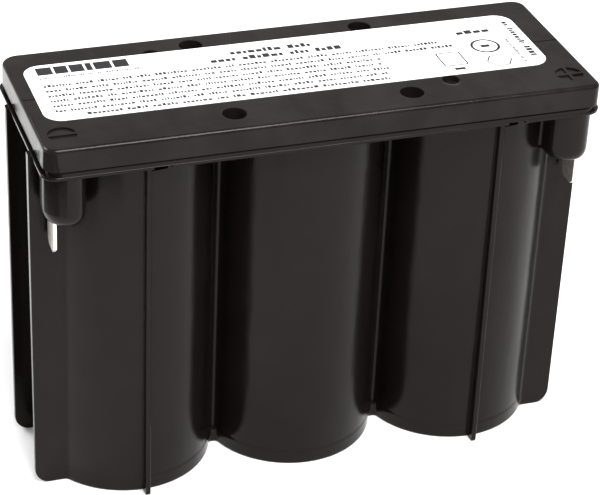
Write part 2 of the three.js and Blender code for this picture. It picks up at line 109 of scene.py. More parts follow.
# The terminal housings, the negative end first. Rounds: near front, far front, far back, near back.
HOUSING_X = {-1: (59.5, 69.3), 1: (58.1, 68.75)}
HOUSING_Y = (-25.6, -12.5)
HOUSING_ROUNDS = {-1: (3.9, 5.6, 4.8, 2.0), 1: (5.8, 4.2, 3.5, 2.0)}
HOUSING_BOTTOM = 82.0
HOUSING_CHAMFER = 1.6
HOUSING_SHOULDER = 85.2
HOUSING_FLOOR = 84.6
HOUSING_WALL = 1.0
HOUSING_LEAST_ROUND = 0.3
HOUSING_ROOT_FILLET = 0.8
HOUSING_ROOT_DEPTH = 4.0
HOUSING_ROOT_WIDTH = 2.0

TAB_WIDTH = 6.35
TAB_HALF = 0.4
TAB_X = {-1: 66.7, 1: 66.9}
TAB_FRONT = -21.2
TAB_TIP = 72.8
TAB_TIP_CHAMFER = 1.2
TAB_EDGE = 0.07
TAB_BACK = TAB_FRONT + TAB_WIDTH
TAB_SLOT_GAP = 0.3
POST_X = CELL_PITCH + 9.5
STRAP_LEVEL = 98.7
STRAP_HALF = 4.0
STRAP_CORNER = 1.0
STRAP_NECK = 5.4
STRAP_SLOPE = 3.0

# The lid. Its upright corners are front left, front right, back right, back left.
COVER_BOTTOM = 96.98
COVER_TOP = 102.9
COVER_HALF = (69.7, 25.7)
COVER_CORNERS_LOW = (4.1, 3.0, 3.6, 4.2)
COVER_CORNERS_HIGH = (3.2, 2.6, 3.4, 4.2)
COVER_WALL = 2.0
COVER_INSIDE_CORNER = 1.2
COVER_LOW_EDGE = ((0.0, 0.1), (0.03, 0.03), (0.1, 0.0))
COVER_EDGE = 1.0
COVER_EDGE_TRIM = 0.8
COVER_DRAFT = 0.1
VENT_HOLE_RADIUS = 2.9
VENT_HOLE_DRAFT = 0.1
VENT_HOLE_EDGE = 0.22
VENT_HOLE_EDGE_MIDDLE = 0.3 * VENT_HOLE_EDGE
VENT_BOSS_RADIUS = 4.0
VENT_BOSS_LIFT = 0.2
VENT_HOLE_X = (-22.2, 22.6)
VENT_HOLE_Y = (-17.8, 19.9)
GATE_MARKS = ((34.3, -14.4), (-33.0, 16.8))
GATE_RADIUS = 2.6
GATE_DEPTH = 0.35
GATE_BOWL_STEPS = 10

# Above the lid, the bowl's cutting tool opens by these steps: outward, upward.
GATE_RIM = ((0.25, 0.02), (0.3, 0.5))
GATE_WELL_RADIUS = 2.15
GATE_WELL_OFFSET = 0.75
GATE_WELL_DEPTH = 1.4
GATE_WELL_DRAFT = 0.15
GATE_WELL_RISE = 0.5
SEAM_Y = 0.7
SEAM_DEPTH = 0.22
SEAM_HALF = 0.18
SEAM_UNDER_LABEL = 3
SIGN_X = 63.9
SIGN_Y = -18.0
SIGN_RADIUS = 3.5
SIGN_DEPTH = 0.4
SIGN_BAR_BASE_HALF = 0.6
SIGN_BAR_TOP_HALF = 0.36
SIGN_BAR_RISE = 0.02
SIGN_EDGE = 0.01

LABEL_X = (-66.0, 62.0)
LABEL_Y = (-11.7, 17.6)
LABEL_CORNER = 4.5
LABEL_LOW = 102.93
LABEL_HIGH = 103.05
PRINT_HIGH = 103.07

# ---- plain marks that only suggest print, in millimetres ----------------------------------

PRINT_SEED = 7
PRINT_LEFT = LABEL_X[0] + 3.2
HEADING_WIDTHS = (3.9, 3.3, 3.5, 1.5, 4.3, 3.7)
HEADING_GAP = 0.55
HEADING_Y = (12.2, 16.2)

# Rows of small blocks: start, stop, level, height and weight.
HEADING_ROWS = (
    (PRINT_LEFT, -37, 10.1, 0.9, 1.0),
    (-14, 6, 12.0, 2.2, 1.3),
    (-20, 13, 8.7, 2.2, 1.3),
)
TEXT_STOPS = (39, 41, 21, 20, 21, 20)
TEXT_TOP = 5.6
TEXT_PITCH = 2.62
TEXT_HEIGHT = 1.4
SIDE_ROWS = (
    (PRINT_LEFT + 7, 20, -10.2, TEXT_HEIGHT, 1.3),
    (45, 55.5, 8.9, 2.2, 1.5),
)
UPRIGHT_ROWS = (
    (-6.5, 12.5, 58.9, 1.7, 1.3),
    (-9.5, 4, 55.9, 0.8, 1.0),
)

# In shares of a row's height.
BLOCK_WIDTHS = (0.28, 0.62)
BLOCK_RISES = (0.68, 0.68, 0.95)
BLOCK_GAP = 0.18
WORD_GAP = 0.7
WORD_BLOCKS = (3, 9)

# Single blocks: x0, x1, y0, y1.
PRINT_RULE = (-36, 55, 7.75, 7.85)
PRINT_DASHES = ((37.3, 40.1, -9.6, -8.4), (48.4, 50.8, 0.7, 2.1))

# Outlines beside the rows: centre, outer radius, inner radius, sides; and one square.
PRINT_RINGS = (((49.6, 1.4), 3.8, 3.1, 40), ((50.0, -7.0), 3.4, 3.0, 6))
SQUARE_X = (35.4, 41.8)
SQUARE_Y = (-7.2, 0.2)
SQUARE_LINE = 0.4
SQUARE_CORNERS = (0.6, 0.3)

# ---- looks --------------------------------------------------------------------------------

CASE_TONE = (0.0044, 0.0033, 0.0029)
CASE_MOTTLING = 0.12
LID_TONE = (0.0080, 0.0062, 0.0056)
LID_MOTTLING = 0.35

# ---- studio: angles in degrees, places of lights in metres, the rest in millimetres -------

FLOOR_HALF = 3000
FLOOR_DEPTH = 20
FLOOR_GAP = 0.05

# Cards seen only in the gloss: name, tone, the turn from and to, lowest and highest point.
CARD_CENTRE = (-66, -22)
CARD_RADIUS = 100
CARD_THICKNESS = 1
CARDS = (
    ("dark_card", 0.01, (128, 262), 33, 64),
    ("grey_card", 0.3, (118, 225), 20, 33),
)

# Square lights: name, place, target, width, power in watts.
SOFTBOXES = (
    ("left_back_light", (-0.55, 0.45, 0.5), (-0.16, 0.08, 0), 0.45, 5.8),
    ("front_top_light", (0.08, -0.45, 0.87), (0, 0, 0.06), 0.5, 16),
)
WORLD_STRENGTH = 0.6

CAMERA_AZIMUTH = 18.37
CAMERA_ELEVATION = 31.05
CAMERA_ROLL = 1.93
CAMERA_AIM = (-11.3, 0, 53.9)
CAMERA_DISTANCE = 566.2
CAMERA_LENS = 133.2
CAMERA_SENSOR = 36
CAMERA_SHIFT = 0.083


# ---- outlines -----------------------------------------------------------------------------

def arc(centre, radius, start, stop, steps):
    """Points on an arc, both ends included, with angles in degrees."""
    points = []
    for step in range(steps + 1):
        angle = math.radians(start + (stop - start) * step / steps)
        points.append((centre[0] + radius * math.cos(angle), centre[1] + radius * math.sin(angle)))
    return points


def rounded_rectangle(x, y, rounds, steps=10):
    """An outline of four corners: front left, front right, back right, back left."""
    front_left, front_right, back_right, back_left = rounds
    return (
        arc((x[0] + front_left, y[0] + front_left), front_left, 180, 270, steps)
        + arc((x[1] - front_right, y[0] + front_right), front_right, 270, 360, steps)
        + arc((x[1] - back_right, y[1] - back_right), back_right, 0, 90, steps)
        + arc((x[0] + back_left, y[1] - back_left), back_left, 90, 180, steps)
    )


def level_ring(outline, height):
    return [(x, y, height) for x, y in outline]


def quarter_outline(radius, fin_half, fin_reach, rib_reach, web_reach):
    """The case's plan from the middle of its positive end to the middle of its front."""
    def beside_cell(offset_y, fillet):
        return math.sqrt((radius + fillet) ** 2 - offset_y ** 2)

    cell = (CELL_PITCH, 0.0)
    fin_inner = -(FIN_CENTRE - fin_half)
    fin_outer = -(FIN_CENTRE + fin_half)
    points = []

    y = fin_inner + FIN_FILLET
    x = beside_cell(y, FIN_FILLET)
    meet = math.degrees(math.atan2(y, x))
    points += arc(cell, radius, 0, meet, steps=10)
    points += arc((CELL_PITCH + x, y), FIN_FILLET, meet + 180, 270, steps=5)[1:]
    points += arc((fin_reach - FIN_EDGE, fin_inner - FIN_EDGE), FIN_EDGE, 90, 0, steps=3)
    points += arc((fin_reach - FIN_EDGE, fin_outer + FIN_EDGE), FIN_EDGE, 0, -90, steps=3)

    y = fin_outer - FIN_OUTER_FILLET
    x = beside_cell(y, FIN_OUTER_FILLET)
    meet = math.degrees(math.atan2(y, x))
    points += arc((CELL_PITCH + x, y), FIN_OUTER_FILLET, 90, meet + 180, steps=6)
    beside_rib = RIB_HALF + RIB_FILLET
    y = -beside_cell(beside_rib, RIB_FILLET)
    rib_meet = math.degrees(math.atan2(y, beside_rib))
    points += arc(cell, radius, meet, rib_meet, steps=18)[1:]
    points += arc((CELL_PITCH + beside_rib, y), RIB_FILLET, rib_meet + 180, 180, steps=4)[1:]
    corner_x = RIB_HALF - RIB_EDGE
    corner_y = -rib_reach + RIB_EDGE
    points += arc((CELL_PITCH + corner_x, corner_y), RIB_EDGE, 0, -90, steps=3)
    points += arc((CELL_PITCH - corner_x, corner_y), RIB_EDGE, -90, -180, steps=3)
    rib_meet = math.degrees(math.atan2(y, -beside_rib))
    points += arc((CELL_PITCH - beside_rib, y), RIB_FILLET, 0, rib_meet + 180, steps=4)

    fillet = WEB_FILLET
    x = CELL_PITCH / 2 - WEB_HALF_LEAST
    y = -math.sqrt((radius + fillet) ** 2 - x ** 2)
    if -y - fillet < web_reach:
        y = -(web_reach + fillet)
        x = beside_cell(y, fillet)
    web_meet = math.degrees(math.atan2(y, -x))
    points += arc(cell, radius, rib_meet, web_meet, steps=22)[1:]
    points += arc((CELL_PITCH - x, y), fillet, web_meet + 180, 90, steps=5)[1:]
    web_meet = math.degrees(math.atan2(y, x))
    points += arc((x, y), fillet, 90, web_meet + 180, steps=5)
    points += arc((0.0, 0.0), radius, web_meet, -90, steps=22)[1:]
    return points


def case_outline(height):
    """The whole plan of the case at one height, with the draft and foot of the moulding."""
    share = height / FLANGE_BOTTOM
    radius = CELL_RADIUS - CELL_DRAFT * (1 - share)
    web_reach = WEB_REACH
    if height < FOOT_HEIGHT + FOOT_STEP_HEIGHT / 2:
        radius = FOOT_RADIUS
        web_reach = WEB_FOOT_REACH
    foot_inset = 0.0
    if height < FOOT_FILLET:
        foot_inset = FOOT_FILLET - math.sqrt(FOOT_FILLET ** 2 - (FOOT_FILLET - height) ** 2)
    reach = FIN_OUTER
    if height < FIN_FOOT_CORNER:
        rise = FIN_FOOT_CORNER - height
        reach += math.sqrt(FIN_FOOT_CORNER ** 2 - rise ** 2) - FIN_FOOT_CORNER
    fin_inset = min(foot_inset, FIN_HALF_LOW - FIN_EDGE - FIN_FOOT_FLAT) * FIN_FOOT_SHARE
    quarter = quarter_outline(
        radius - foot_inset,
        FIN_HALF_LOW + (FIN_HALF_HIGH - FIN_HALF_LOW) * share - fin_inset,
        reach,
        RIB_REACH_LOW + (RIB_REACH_HIGH - RIB_REACH_LOW) * share - foot_inset,
        web_reach - foot_inset,
    )
    front_left = [(-x, y) for x, y in reversed(quarter)]
    back_left = [(-x, -y) for x, y in quarter]
    back_right = [(x, -y) for x, y in reversed(quarter)]
    return quarter + front_left[1:] + back_left[1:] + back_right[1:-1]


# ---- mesh making --------------------------------------------------------------------------

def new_object(name, points, faces):
    """Points in millimetres; faces get their outward side from Blender."""
    mesh = bpy.data.meshes.new(name)
    mesh.from_pydata([tuple(value * MM for value in point) for point in points], [], faces)
    work = bmesh.new()
    work.from_mesh(mesh)
    bmesh.ops.remove_doubles(work, verts=work.verts, dist=1e-7)
    bmesh.ops.recalc_face_normals(work, faces=work.faces)
    work.to_mesh(mesh)
    work.free()
    obj = bpy.data.objects.new(name, mesh)
    bpy.context.scene.collection.objects.link(obj)
    return obj


def loft(name, rings):
    """A closed skin through rings of points (x, y, z) that all have the same count."""
    count = len(rings[0])
    points = [point for ring in rings for point in ring]
    faces = [list(range(count)), [len(points) - count + i for i in range(count)]]
    for level in range(len(rings) - 1):
        low = level * count
        high = low + count
        for i in range(count):
            after = (i + 1) % count
            faces.append([low + i, low + after, high + after, high + i])
    return new_object(name, points, faces)


def prism(name, outline, low, high):
    return loft(name, [level_ring(outline, low), level_ring(outline, high)])


def turned(name, profile, centre, steps=48):
    """A profile of (radius, height) pairs turned about a vertical axis, flat at both ends."""
    rings = []
    for radius, height in profile:
        circle = arc(centre, radius, 0, 360, steps)[:-1]
        rings.append(level_ring(circle, height))
    return loft(name, rings)


def block(name, x, y, z):
    outline = [(x[0], y[0]), (x[1], y[0]), (x[1], y[1]), (x[0], y[1])]
    return prism(name, outline, z[0], z[1])


def at_end(outline, end):
    """An outline for the positive end, mirrored if it is wanted at the negative end."""
    return [(end * x, y) for x, y in outline]


def combine(target, operation, tools):
    """Joins the tools to the target, or cuts it with them, and removes them."""
    group = bpy.data.collections.new("tools")
    for tool in tools:
        group.objects.link(tool)
    modifier = target.modifiers.new(operation.lower(), "BOOLEAN")
    modifier.operation = operation
    modifier.operand_type = "COLLECTION"
    modifier.collection = group
    modifier.solver = "EXACT"
    settle(target)
    for tool in tools:
        bpy.data.objects.remove(tool)
    bpy.data.collections.remove(group)


def settle(obj):
    """Applies every modifier on an object."""
    bpy.context.view_layer.update()
    graph = bpy.context.evaluated_depsgraph_get()
    mesh = bpy.data.meshes.new_from_object(obj.evaluated_get(graph))
    obj.modifiers.clear()
    obj.data = mesh


def shade(obj, sharp_degrees):
    """Smooth shading that leaves the large flat faces flat."""
    obj.data.shade_smooth()
    obj.data.set_sharp_from_angle(angle=math.radians(sharp_degrees))
    weighted = obj.modifiers.new("weighted_normals", "WEIGHTED_NORMAL")
    weighted.mode = "FACE_AREA_WITH_ANGLE"
    weighted.keep_sharp = True
    settle(obj)


def soften_edges(obj, width, sharp_degrees=35, segments=2):
    bevel = obj.modifiers.new("soft_edges", "BEVEL")
    bevel.width = width * MM
    bevel.segments = segments
    bevel.limit_method = "ANGLE"
    bevel.angle_limit = math.radians(sharp_degrees)
    settle(obj)


def dress(obj, material, slot_name, *nodes):
    """Gives a piece its material, hangs it under its body and hides the CAD nodes it stands for; the
    slot name is not used.
    """
    obj.data.materials.clear()
    obj.data.materials.append(material)
    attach(obj, BODY)
    if nodes:
        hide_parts(*nodes)


# ---- materials ----------------------------------------------------------------------------

class Surface:
    """A Principled material with a few texture helpers, in the object's own coordinates."""

    def __init__(self, name, colour, roughness, metallic=0.0):
        self.material = bpy.data.materials.new(name)
        self.material.use_nodes = True
        self.nodes = self.material.node_tree.nodes
        self.links = self.material.node_tree.links
        self.shader = self.nodes["Principled BSDF"]
        self.shader.inputs["Base Color"].default_value = (*colour, 1)
        self.shader.inputs["Roughness"].default_value = roughness
        self.shader.inputs["Metallic"].default_value = metallic
        self.place = self.nodes.new("ShaderNodeTexCoord").outputs["Object"]

    def noise(self, feature_mm, detail=3.0, stretch=(1, 1, 1)):
        mapping = self.nodes.new("ShaderNodeMapping")
        scale = 1 / (feature_mm * MM)
        mapping.inputs["Scale"].default_value = [scale * part for part in stretch]
        texture = self.nodes.new("ShaderNodeTexNoise")
        texture.inputs["Scale"].default_value = 1.0
        texture.inputs["Detail"].default_value = detail
        self.links.new(self.place, mapping.inputs["Vector"])
        self.links.new(mapping.outputs["Vector"], texture.inputs["Vector"])
        return texture.outputs["Fac"]

    def spread(self, value, low, high, start=0.3, stop=0.7):
        """Maps a texture's middle range to low..high."""
        node = self.nodes.new("ShaderNodeMapRange")
        node.inputs["From Min"].default_value = start
        node.inputs["From Max"].default_value = stop
        node.inputs["To Min"].default_value = low
        node.inputs["To Max"].default_value = high
        self.links.new(value, node.inputs["Value"])
        return node.outputs["Result"]

    def mix_colour(self, value, first, second):
        node = self.nodes.new("ShaderNodeMix")
        node.data_type = "RGBA"
        node.inputs["A"].default_value = (*first, 1)
        node.inputs["B"].default_value = (*second, 1)
        self.links.new(value, node.inputs["Factor"])
        self.links.new(node.outputs["Result"], self.shader.inputs["Base Color"])

    def add(self, first, second):
        node = self.nodes.new("ShaderNodeMath")
        node.operation = "ADD"
        self.links.new(first, node.inputs[0])
        self.links.new(second, node.inputs[1])
        return node.outputs["Value"]

    def rough(self, value):
        self.links.new(value, self.shader.inputs["Roughness"])

    def bump(self, value, height_mm, strength=1.0):
        node = self.nodes.new("ShaderNodeBump")
        node.inputs["Strength"].default_value = strength
        node.inputs["Distance"].default_value = height_mm * MM
        self.links.new(value, node.inputs["Height"])
        self.links.new(node.outputs["Normal"], self.shader.inputs["Normal"])


def case_plastic(name, tone, mottling):
    """Black moulded plastic: satin, with a fine grain, faint flow marks and rubbed patches."""
    surface = Surface(name, tone, roughness=0.15)
    surface.shader.inputs["Specular IOR Level"].default_value = 0.132
    surface.shader.inputs["Specular Tint"].default_value = (1.0, 0.92, 0.9, 1)
    flow = surface.noise(feature_mm=14, detail=4, stretch=(1, 1, 0.35))
    grain = surface.noise(feature_mm=0.22, detail=2)
    scuffs = surface.noise(feature_mm=2.6, detail=5, stretch=(1, 1, 0.25))
    streaks = surface.noise(feature_mm=9, detail=3, stretch=(1, 0.45, 1))
    dark = [value * (1 - mottling) for value in tone]
    light = [value * (1 + mottling) for value in tone]
    surface.mix_colour(surface.spread(streaks, 0, 1, 0.35, 0.65), dark, light)
    surface.rough(surface.add(surface.spread(flow, 0.13, 0.17), surface.spread(scuffs, 0, 0.04)))
    texture = surface.add(surface.spread(grain, 0, 0.006), surface.spread(scuffs, 0, 0.003))
    surface.bump(surface.add(texture, surface.spread(flow, 0, 0.12)), height_mm=1.0)
    return surface.material


def label_film():
    surface = Surface("label_film", (0.92, 0.92, 0.915), roughness=0.42)
    fibre = surface.noise(feature_mm=3.5, detail=4)
    surface.mix_colour(surface.spread(fibre, 0, 1), (0.90, 0.90, 0.895), (0.94, 0.94, 0.935))
    surface.rough(surface.spread(fibre, 0.38, 0.46))
    surface.bump(surface.noise(feature_mm=0.5, detail=2), height_mm=0.004)
    return surface.material


def printed_ink():
    surface = Surface("printed_ink", (0.012, 0.012, 0.013), roughness=0.6)
    surface.shader.inputs["Specular IOR Level"].default_value = 0.2
    speckle = surface.noise(feature_mm=0.35, detail=3)
    surface.mix_colour(surface.spread(speckle, 0, 1), (0.009, 0.009, 0.010), (0.022, 0.022, 0.024))
    surface.rough(surface.spread(speckle, 0.45, 0.58))
    return surface.material


def tinned_brass():
    """Tin plate with fine drawing lines and a few dull spots."""
    surface = Surface("tinned_brass", (0.86, 0.83, 0.75), roughness=0.42, metallic=1.0)
    lines = surface.noise(feature_mm=0.25, detail=3, stretch=(1, 1, 0.04))
    spots = surface.noise(feature_mm=1.3, detail=4)
    surface.mix_colour(surface.spread(spots, 0, 1, 0.45, 0.75), (0.88, 0.86, 0.80), (0.72, 0.66, 0.54))
    surface.rough(surface.add(surface.spread(lines, 0.36, 0.46), surface.spread(spots, 0, 0.12)))
    surface.bump(lines, height_mm=0.004)
    return surface.material


def cast_lead():
    surface = Surface("cast_lead", (0.33, 0.34, 0.36), roughness=0.55, metallic=0.9)
    clouds = surface.noise(feature_mm=2.2, detail=5)
    surface.mix_colour(surface.spread(clouds, 0, 1), (0.24, 0.25, 0.27), (0.42, 0.43, 0.45))
    surface.rough(surface.spread(clouds, 0.42, 0.65))
    surface.bump(surface.noise(feature_mm=0.6, detail=4), height_mm=0.04)
    return surface.material


def pasted_plate(name, dark, light):
    """Dry paste pressed into a lead grid."""
    surface = Surface(name, light, roughness=0.85)
    paste = surface.noise(feature_mm=0.8, detail=5)
    surface.mix_colour(surface.spread(paste, 0, 1), dark, light)
    surface.rough(surface.spread(paste, 0.75, 0.92))
    surface.bump(paste, height_mm=0.08)
    return surface.material


def glass_mat():
    surface = Surface("glass_mat", (0.85, 0.85, 0.82), roughness=0.95)
    fibres = surface.noise(feature_mm=0.4, detail=4, stretch=(1, 1, 0.2))
    surface.mix_colour(surface.spread(fibres, 0, 1), (0.78, 0.78, 0.74), (0.90, 0.90, 0.87))
    surface.bump(fibres, height_mm=0.05)
    return surface.material


def inner_plastic():
    surface = Surface("inner_plastic", (0.07, 0.07, 0.07), roughness=0.5)
    flow = surface.noise(feature_mm=5, detail=3)
    surface.mix_colour(surface.spread(flow, 0, 1), (0.06, 0.06, 0.06), (0.09, 0.09, 0.09))
    surface.rough(surface.spread(flow, 0.44, 0.56))
    surface.bump(surface.noise(feature_mm=0.4, detail=2), height_mm=0.01)
    return surface.material


def soft_rubber():
    surface = Surface("soft_rubber", (0.018, 0.018, 0.018), roughness=0.78)
    bloom = surface.noise(feature_mm=1.5, detail=4)
    surface.mix_colour(surface.spread(bloom, 0, 1), (0.014, 0.014, 0.014), (0.03, 0.03, 0.03))
    surface.rough(surface.spread(bloom, 0.7, 0.86))
    surface.bump(surface.noise(feature_mm=0.3, detail=3), height_mm=0.015)
    return surface.material


def poured_epoxy():
    surface = Surface("poured_epoxy", (0.016, 0.016, 0.02), roughness=0.2)
    swirl = surface.noise(feature_mm=3, detail=3)
    surface.mix_colour(surface.spread(swirl, 0, 1), (0.013, 0.013, 0.016), (0.022, 0.022, 0.027))
    surface.rough(surface.spread(swirl, 0.15, 0.27))
    surface.bump(swirl, height_mm=0.05)
    return surface.material


def floor_paint():
    surface = Surface("floor_paint", (0.9, 0.9, 0.9), roughness=0.7)
    tone = surface.noise(feature_mm=180, detail=2)
    surface.mix_colour(surface.spread(tone, 0, 1), (0.895, 0.895, 0.895), (0.905, 0.905, 0.905))
    return surface.material


# ---- case ---------------------------------------------------------------------------------

def case_levels():
    foot = [FOOT_FILLET * (1 - math.cos(math.radians(angle))) for angle in (0, 22, 45, 67, 90)]
    corner = [FIN_FOOT_CORNER * share for share in (0.25, 0.4, 0.6, 0.8)]
    step = [FOOT_HEIGHT, FOOT_HEIGHT + FOOT_STEP_HEIGHT]
    return foot + corner + step + [*WALL_LEVELS, FIN_TOP]


def flange_piece():
    """The shelf that carries the lid. Its two ends are cut back above a low lip."""
    levels = [(FLANGE_BOTTOM + rise, inset) for rise, inset in FLANGE_LOW_EDGE]
    levels += [
        (FLANGE_LIP_TOP - FLANGE_LIP_EDGE, 0.0),
        (FLANGE_LIP_TOP, FLANGE_LIP_EDGE),
        (FLANGE_LIP_TOP + FLANGE_LIP_STEP, 0.0),
    ]
    levels += [(FLANGE_TOP - drop, inset) for drop, inset in reversed(FLANGE_TOP_EDGE)]
    rings = []
    for height, inset in levels:
        recess = FLANGE_END_RECESS if height > FLANGE_LIP_TOP else 0
        x = FLANGE_HALF[0] - recess - inset
        y = FLANGE_HALF[1] - inset
        corners = [FLANGE_CORNER - inset] * 4
        rings.append(level_ring(rounded_rectangle((-x, x), (-y, y), corners), height))
    return loft("flange", rings)


def housing_outline(end, inset):
    near, far = HOUSING_X[end]
    y = (HOUSING_Y[0] + inset, HOUSING_Y[1] - inset)
    rounds = [max(radius - inset, HOUSING_LEAST_ROUND) for radius in HOUSING_ROUNDS[end]]
    return at_end(rounded_rectangle((near + inset, far - inset), y, rounds, steps=12), end)


def housing_piece(end):
    """The terminal housing: it draws in towards its bottom on a soft curve."""
    rise = HOUSING_SHOULDER - HOUSING_BOTTOM
    levels = []
    for angle in (0, 12, 25, 38, 51, 64, 77, 90):
        turn = math.radians(angle)
        height = HOUSING_SHOULDER - rise * math.cos(turn)
        levels.append((height, HOUSING_CHAMFER * (1 - math.sin(turn))))
    levels.append((FLANGE_BOTTOM + OVERRUN, 0.0))
    rings = [level_ring(housing_outline(end, inset), height) for height, inset in levels]
    return loft("housing", rings)


def housing_root(end):
    """The small fillet where the housing's inner side meets the cell."""
    fillet = HOUSING_ROOT_FILLET
    side = HOUSING_X[end][0] - CELL_PITCH
    x = side - fillet
    y = -math.sqrt((CELL_RADIUS + fillet) ** 2 - x ** 2)
    meet = math.degrees(math.atan2(y, x))
    curve = arc((CELL_PITCH + x, y), fillet, meet + 180, 0, steps=8)
    far = CELL_PITCH + side + OVERRUN
    back = y + HOUSING_ROOT_DEPTH
    outline = curve + [(far, y), (far, back), (CELL_PITCH + x - HOUSING_ROOT_WIDTH, back)]
    low = HOUSING_SHOULDER - OVERRUN
    return prism("housing_root", at_end(outline, end), low, FLANGE_BOTTOM + OVERRUN)


def flange_notches():
    """Cuts into the flange's underside beside each rib, at the front and at the back."""
    tools = []
    levels = (FLANGE_BOTTOM - NOTCH_DROP, FLANGE_BOTTOM + NOTCH_HEIGHT)
    for x in (-CELL_PITCH, CELL_PITCH):
        along = (x + RIB_HALF, x + RIB_HALF + NOTCH_LENGTH)
        for side in (-1, 1):
            outside = side * (FLANGE_HALF[1] + OVERRUN)
            inside = side * (FLANGE_HALF[1] - NOTCH_DEPTH)
            tools.append(block("notch", along, sorted((outside, inside)), levels))
    return tools


def case_hollows():
    """The three bores, the two housings' pockets, and the slots that the tabs pass through."""
    tools = []
    for x in (-CELL_PITCH, 0.0, CELL_PITCH):
        profile = [(BORE_RADIUS, FLOOR_THICKNESS), (BORE_RADIUS, FLANGE_TOP + OVERRUN)]
        tools.append(turned("bore", profile, (x, 0.0), steps=96))
    half = TAB_HALF + TAB_SLOT_GAP
    slot_y = (TAB_FRONT - TAB_SLOT_GAP, TAB_BACK + TAB_SLOT_GAP)
    slot_z = (HOUSING_BOTTOM - OVERRUN, HOUSING_FLOOR + OVERRUN)
    for end in ENDS:
        pocket = housing_outline(end, HOUSING_WALL)
        tools.append(prism("pocket", pocket, HOUSING_FLOOR, FLANGE_TOP + OVERRUN))
        slot_x = sorted((end * (TAB_X[end] - half), end * (TAB_X[end] + half)))
        tools.append(block("slot", slot_x, slot_y, slot_z))
    return tools


def build_case(material):
    case = loft("case", [level_ring(case_outline(height), height) for height in case_levels()])
    additions = [flange_piece()]
    for end in ENDS:
        additions += [housing_piece(end), housing_root(end)]
    combine(case, "UNION", additions)
    combine(case, "DIFFERENCE", case_hollows() + flange_notches())
    shade(case, sharp_degrees=28)
    dress(case, material, "case_plastic", "container")
    return case


# ---- lid ----------------------------------------------------------------------------------

def cover_ring(height, inset, corners, trim):
    half_x, half_y = COVER_HALF[0] - inset, COVER_HALF[1] - inset
    rounds = [corner - trim for corner in corners]
    outline = rounded_rectangle((-half_x, half_x), (-half_y, half_y), rounds, steps=12)
    return level_ring(outline, height)


def cover_shell():
    """The lid's block: its upright corners tighten towards the top."""
    rings = []
    for rise, inset in COVER_LOW_EDGE:
        rings.append(cover_ring(COVER_BOTTOM + rise, inset, COVER_CORNERS_LOW, inset))
    for angle in range(0, 91, 15):
        turn = math.radians(angle)
        height = COVER_TOP - COVER_EDGE * (1 - math.sin(turn))
        inset = COVER_EDGE * (1 - math.cos(turn))
        trim = COVER_EDGE_TRIM * inset
        rings.append(cover_ring(height, COVER_DRAFT + inset, COVER_CORNERS_HIGH, trim))
    return loft("lid", rings)


def vent_places():
    return [(x, y) for x in VENT_HOLE_X for y in VENT_HOLE_Y]


def vent_bosses():
    """The deep round walls that line the four holes under the lid."""
    levels = (COVER_BOTTOM + VENT_BOSS_LIFT, COVER_TOP - OVERRUN)
    profile = [(VENT_BOSS_RADIUS, height) for height in levels]
    return [turned("vent_boss", profile, place, steps=40) for place in vent_places()]


def vent_hole_tools():
    mouth = VENT_HOLE_RADIUS + VENT_HOLE_EDGE
    profile = [
        (VENT_HOLE_RADIUS - VENT_HOLE_DRAFT, COVER_BOTTOM - OVERRUN),
        (VENT_HOLE_RADIUS, COVER_TOP - VENT_HOLE_EDGE),
        (VENT_HOLE_RADIUS + VENT_HOLE_EDGE_MIDDLE, COVER_TOP - VENT_HOLE_EDGE_MIDDLE),
        (mouth, COVER_TOP),
        (mouth, COVER_TOP + OVERRUN),
    ]
    return [turned("vent_hole", profile, place) for place in vent_places()]


def gate_mark_tools():
    """Shallow bowls where the plastic was fed in, each with a deeper well behind its middle."""
    ball = (GATE_RADIUS ** 2 + GATE_DEPTH ** 2) / (2 * GATE_DEPTH)
    bowl = []
    for step in range(1, GATE_BOWL_STEPS + 1):
        radius = GATE_RADIUS * step / GATE_BOWL_STEPS
        depth = math.sqrt(ball ** 2 - radius ** 2) - (ball - GATE_DEPTH)
        bowl.append((radius, COVER_TOP - depth))
    bowl += [(GATE_RADIUS + outward, COVER_TOP + rise) for outward, rise in GATE_RIM]
    well = [
        (GATE_WELL_RADIUS - GATE_WELL_DRAFT, COVER_TOP - GATE_WELL_DEPTH),
        (GATE_WELL_RADIUS, COVER_TOP + GATE_WELL_RISE),
    ]
    bowls = [turned("gate_mark", bowl, centre, steps=40) for centre in GATE_MARKS]
    wells = [
        turned("gate_well", well, (x, y + GATE_WELL_OFFSET), steps=40) for x, y in GATE_MARKS]
    return bowls + wells


def standing_bar(start, stop):
    """A bar with drafted sides, left standing when the sink is cut."""
    (x0, y0), (x1, y1) = start, stop
    length = math.hypot(x1 - x0, y1 - y0)
    side = (-(y1 - y0) / length, (x1 - x0) / length)
    low = COVER_TOP - SIGN_DEPTH - OVERRUN
    high = COVER_TOP + SIGN_BAR_RISE
    base, top = SIGN_BAR_BASE_HALF, SIGN_BAR_TOP_HALF
    profile = ((-base, low), (base, low), (top, high), (-top, high))
    rings = [
        [(x + side[0] * across, y + side[1] * across, height) for across, height in profile]
        for x, y in (start, stop)]
    return loft("bar", rings)


def polarity_sign(end):
    """A round sink in the lid with a minus or a plus standing in it."""
    x, y = end * SIGN_X, SIGN_Y
    reach = SIGN_RADIUS + OVERRUN
    profile = [
        (SIGN_RADIUS, COVER_TOP - SIGN_DEPTH),
        (SIGN_RADIUS + SIGN_EDGE, COVER_TOP + SIGN_EDGE),
    ]
    sink = turned("sink", profile, (x, y), steps=56)
    bars = [standing_bar((x - reach, y), (x + reach, y))]
    if end > 0:
        bars.append(standing_bar((x, y - reach), (x, y + reach)))
    for bar in bars:
        combine(sink, "DIFFERENCE", [bar])
    return sink


